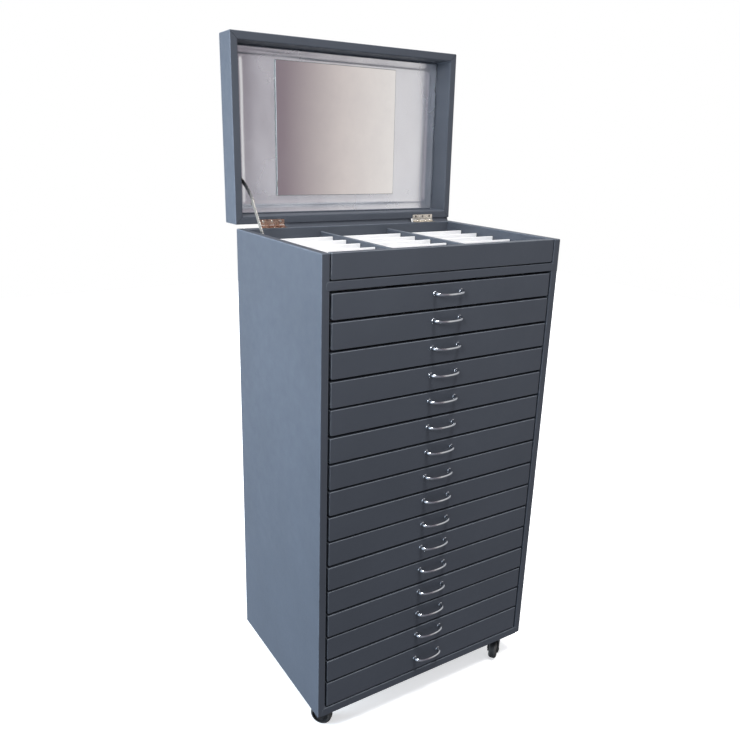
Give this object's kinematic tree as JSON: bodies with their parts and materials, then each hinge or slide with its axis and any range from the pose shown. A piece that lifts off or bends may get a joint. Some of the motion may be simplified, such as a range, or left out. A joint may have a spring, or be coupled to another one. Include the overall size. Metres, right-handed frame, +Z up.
{
  "type": "rolling eyewear drawer cabinet",
  "caption": "Tall rolling cabinet of shallow drawers with bow handles, an open pocketed top tray, and a hinged mirror lid held by an elbow stay.",
  "frame": {"origin": "on the floor, in the middle of the bounding box with the lid standing open and the drawers shut", "axes": "+Z up, the drawer fronts face -Y, +X to the right seen from the front"},
  "size_m": [0.6, 0.4898, 1.5019],
  "materials": {
    "leatherette": "satin",
    "satin_lining": "satin",
    "white_board": "matte",
    "mirror": "polished",
    "chrome": "polished",
    "nickel": "polished",
    "black_nylon": "satin",
    "black_tread": "matte"
  },
  "bodies": {
    "cabinet": {"left_side_panel": "leatherette", "right_side_panel": "leatherette", "back_panel": "leatherette", "bottom_panel": "leatherette", "upper_shelf": "leatherette", "front_apron": "leatherette", "top_tray": "leatherette", "tray_insert_left": "white_board", "tray_insert_centre": "white_board", "tray_insert_right": "white_board", "hinge_left_cabinet_leaf": "nickel", "hinge_right_cabinet_leaf": "nickel"},
    "drawer_01": {"drawer_01": "leatherette", "handle_01": "chrome"},
    "drawer_02": {"drawer_02": "leatherette", "handle_02": "chrome"},
    "drawer_03": {"drawer_03": "leatherette", "handle_03": "chrome"},
    "drawer_04": {"drawer_04": "leatherette", "handle_04": "chrome"},
    "drawer_05": {"drawer_05": "leatherette", "handle_05": "chrome"},
    "drawer_06": {"drawer_06": "leatherette", "handle_06": "chrome"},
    "drawer_07": {"drawer_07": "leatherette", "handle_07": "chrome"},
    "drawer_08": {"drawer_08": "leatherette", "handle_08": "chrome"},
    "drawer_09": {"drawer_09": "leatherette", "handle_09": "chrome"},
    "drawer_10": {"drawer_10": "leatherette", "handle_10": "chrome"},
    "drawer_11": {"drawer_11": "leatherette", "handle_11": "chrome"},
    "drawer_12": {"drawer_12": "leatherette", "handle_12": "chrome"},
    "drawer_13": {"drawer_13": "leatherette", "handle_13": "chrome"},
    "drawer_14": {"drawer_14": "leatherette", "handle_14": "chrome"},
    "drawer_15": {"drawer_15": "leatherette", "handle_15": "chrome"},
    "drawer_16": {"drawer_16": "leatherette", "handle_16": "chrome"},
    "lid": {"lid_frame": "leatherette", "lid_lining": "satin_lining", "mirror": "mirror", "hinge_left_lid_leaf": "nickel", "hinge_right_lid_leaf": "nickel", "stay_lid_bracket": "nickel"},
    "stay_lower": {"stay_lower_arm": "nickel"},
    "stay_upper": {"stay_upper_arm": "nickel"},
    "caster_fork_front_left": {"caster_fork_front_left": "black_nylon"},
    "caster_wheel_front_left": {"caster_wheel_front_left": "black_tread"},
    "caster_fork_front_right": {"caster_fork_front_right": "black_nylon"},
    "caster_wheel_front_right": {"caster_wheel_front_right": "black_tread"},
    "caster_fork_rear_left": {"caster_fork_rear_left": "black_nylon"},
    "caster_wheel_rear_left": {"caster_wheel_rear_left": "black_tread"},
    "caster_fork_rear_right": {"caster_fork_rear_right": "black_nylon"},
    "caster_wheel_rear_right": {"caster_wheel_rear_right": "black_tread"}
  },
  "joints": [
    {"name": "drawer_01_slide", "type": "slide", "parent": "cabinet", "child": "drawer_01", "axis": [0, -1, 0], "range_m": [0, 0.28]},
    {"name": "drawer_02_slide", "type": "slide", "parent": "cabinet", "child": "drawer_02", "axis": [0, -1, 0], "range_m": [0, 0.28]},
    {"name": "drawer_03_slide", "type": "slide", "parent": "cabinet", "child": "drawer_03", "axis": [0, -1, 0], "range_m": [0, 0.28]},
    {"name": "drawer_04_slide", "type": "slide", "parent": "cabinet", "child": "drawer_04", "axis": [0, -1, 0], "range_m": [0, 0.28]},
    {"name": "drawer_05_slide", "type": "slide", "parent": "cabinet", "child": "drawer_05", "axis": [0, -1, 0], "range_m": [0, 0.28]},
    {"name": "drawer_06_slide", "type": "slide", "parent": "cabinet", "child": "drawer_06", "axis": [0, -1, 0], "range_m": [0, 0.28]},
    {"name": "drawer_07_slide", "type": "slide", "parent": "cabinet", "child": "drawer_07", "axis": [0, -1, 0], "range_m": [0, 0.28]},
    {"name": "drawer_08_slide", "type": "slide", "parent": "cabinet", "child": "drawer_08", "axis": [0, -1, 0], "range_m": [0, 0.28]},
    {"name": "drawer_09_slide", "type": "slide", "parent": "cabinet", "child": "drawer_09", "axis": [0, -1, 0], "range_m": [0, 0.28]},
    {"name": "drawer_10_slide", "type": "slide", "parent": "cabinet", "child": "drawer_10", "axis": [0, -1, 0], "range_m": [0, 0.28]},
    {"name": "drawer_11_slide", "type": "slide", "parent": "cabinet", "child": "drawer_11", "axis": [0, -1, 0], "range_m": [0, 0.28]},
    {"name": "drawer_12_slide", "type": "slide", "parent": "cabinet", "child": "drawer_12", "axis": [0, -1, 0], "range_m": [0, 0.28]},
    {"name": "drawer_13_slide", "type": "slide", "parent": "cabinet", "child": "drawer_13", "axis": [0, -1, 0], "range_m": [0, 0.28]},
    {"name": "drawer_14_slide", "type": "slide", "parent": "cabinet", "child": "drawer_14", "axis": [0, -1, 0], "range_m": [0, 0.28]},
    {"name": "drawer_15_slide", "type": "slide", "parent": "cabinet", "child": "drawer_15", "axis": [0, -1, 0], "range_m": [0, 0.28]},
    {"name": "drawer_16_slide", "type": "slide", "parent": "cabinet", "child": "drawer_16", "axis": [0, -1, 0], "range_m": [0, 0.28]},
    {"name": "lid_hinge", "type": "hinge", "parent": "cabinet", "child": "lid", "pos_m": [0, 0.17432, 1.0965], "axis": [1, 0, 0], "range_deg": [0, 91]},
    {"name": "stay_foot_pivot", "type": "hinge", "parent": "cabinet", "child": "stay_lower", "pos_m": [-0.281, 0.06932, 1.085], "axis": [1, 0, 0], "range_deg": [0, 117.8]},
    {"name": "stay_elbow_pivot", "type": "hinge", "parent": "stay_lower", "child": "stay_upper", "pos_m": [-0.2795, 0.12482, 1.1565], "axis": [1, 0, 0], "range_deg": [-136.8, 0]},
    {"name": "caster_swivel_front_left", "type": "hinge", "parent": "cabinet", "child": "caster_fork_front_left", "pos_m": [-0.25, -0.19018, 0.066], "axis": [0, 0, 1], "continuous": true},
    {"name": "caster_roll_front_left", "type": "hinge", "parent": "caster_fork_front_left", "child": "caster_wheel_front_left", "pos_m": [-0.26259, -0.17464, 0.025], "axis": [0.7771, 0.6293, 0], "continuous": true},
    {"name": "caster_swivel_front_right", "type": "hinge", "parent": "cabinet", "child": "caster_fork_front_right", "pos_m": [0.25, -0.19018, 0.066], "axis": [0, 0, 1], "continuous": true},
    {"name": "caster_roll_front_right", "type": "hinge", "parent": "caster_fork_front_right", "child": "caster_wheel_front_right", "pos_m": [0.23468, -0.20304, 0.025], "axis": [-0.6428, 0.766, 0], "continuous": true},
    {"name": "caster_swivel_rear_left", "type": "hinge", "parent": "cabinet", "child": "caster_fork_rear_left", "pos_m": [-0.25, 0.13982, 0.066], "axis": [0, 0, 1], "continuous": true},
    {"name": "caster_roll_rear_left", "type": "hinge", "parent": "caster_fork_rear_left", "child": "caster_wheel_rear_left", "pos_m": [-0.24482, 0.15913, 0.025], "axis": [0.9659, -0.2588, 0], "continuous": true},
    {"name": "caster_swivel_rear_right", "type": "hinge", "parent": "cabinet", "child": "caster_fork_rear_right", "pos_m": [0.25, 0.13982, 0.066], "axis": [0, 0, 1], "continuous": true},
    {"name": "caster_roll_rear_right", "type": "hinge", "parent": "caster_fork_rear_right", "child": "caster_wheel_rear_right", "pos_m": [0.26532, 0.15267, 0.025], "axis": [0.6428, -0.766, 0], "continuous": true}
  ],
  "couplings": [
    {"joint": "stay_foot_pivot", "follows": "lid_hinge", "ratio": 1.2943},
    {"joint": "stay_elbow_pivot", "follows": "lid_hinge", "ratio": -1.5031}
  ]
}
